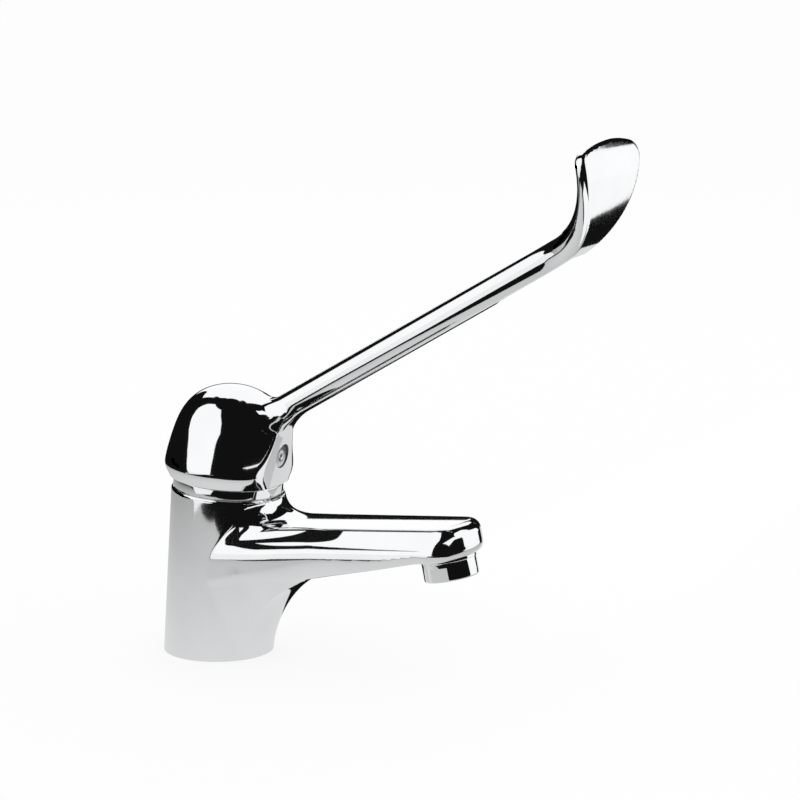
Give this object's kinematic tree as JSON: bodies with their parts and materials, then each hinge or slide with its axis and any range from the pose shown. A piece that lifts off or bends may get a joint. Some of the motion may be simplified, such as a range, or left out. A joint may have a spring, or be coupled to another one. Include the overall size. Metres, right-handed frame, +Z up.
{
  "type": "single-lever basin tap",
  "caption": "Single-lever basin mixer with a low cast spout, a domed handle, a long upturned lever, a ceramic cartridge and a screwed-in aerator.",
  "frame": {"origin": "centre of the foot, on the plane that stands on the basin", "axes": "+Z up, +X along the spout and the lever, +Y to the left of the spout"},
  "size_m": [0.2161, 0.0608, 0.2397],
  "materials": {
    "body": "polished chrome on cast brass",
    "base_gasket": "black moulded rubber",
    "cover_ring": "polished chrome on turned brass",
    "cartridge_nut": "turned brass",
    "cartridge_base": "moulded plastic",
    "base_seals": "black moulded rubber",
    "disc_seal": "black moulded rubber",
    "fixed_disc": "lapped ceramic",
    "cartridge_casing": "moulded plastic",
    "moving_disc": "lapped ceramic",
    "disc_coupler": "moulded plastic",
    "carrier": "moulded plastic",
    "pivot_pin": "ground steel",
    "stem": "plain die-cast metal",
    "handle": "polished chrome on cast zinc",
    "handle_screw": "plain steel",
    "index_plug": "glossy silver-grey plastic",
    "aerator_housing": "polished chrome on turned brass",
    "aerator_insert": "moulded plastic",
    "aerator_screen": "fine perforated steel",
    "aerator_seal": "black moulded rubber"
  },
  "bodies": {
    "tap": {"body": "body", "base_gasket": "base_gasket", "cover_ring": "cover_ring", "cartridge_nut": "cartridge_nut", "cartridge_base": "cartridge_base", "base_seals": "base_seals", "disc_seal": "disc_seal", "fixed_disc": "fixed_disc", "cartridge_casing": "cartridge_casing", "aerator_housing": "aerator_housing", "aerator_insert": "aerator_insert", "aerator_screen": "aerator_screen", "aerator_seal": "aerator_seal"},
    "carrier": {"carrier": "carrier", "pivot_pin": "pivot_pin"},
    "handle": {"stem": "stem", "handle": "handle", "handle_screw": "handle_screw", "index_plug": "index_plug"},
    "slider": {"moving_disc": "moving_disc", "disc_coupler": "disc_coupler"}
  },
  "joints": [
    {"name": "handle_turn", "type": "hinge", "parent": "tap", "child": "carrier", "pos_m": [0, 0, 0], "axis": [0.0767, 0, 0.9971], "range_deg": [-50, 50]},
    {"name": "handle_lift", "type": "hinge", "parent": "carrier", "child": "handle", "pos_m": [0.00552, 0, 0.07179], "axis": [0, -1, 0], "range_deg": [0, 25]},
    {"name": "disc_slide", "type": "slide", "parent": "carrier", "child": "slider", "axis": [0.9971, 0, -0.0767], "range_m": [0, 0.00541]}
  ],
  "couplings": [
    {"joint": "disc_slide", "follows": "handle_lift", "m_per_rad": 0.0124}
  ]
}
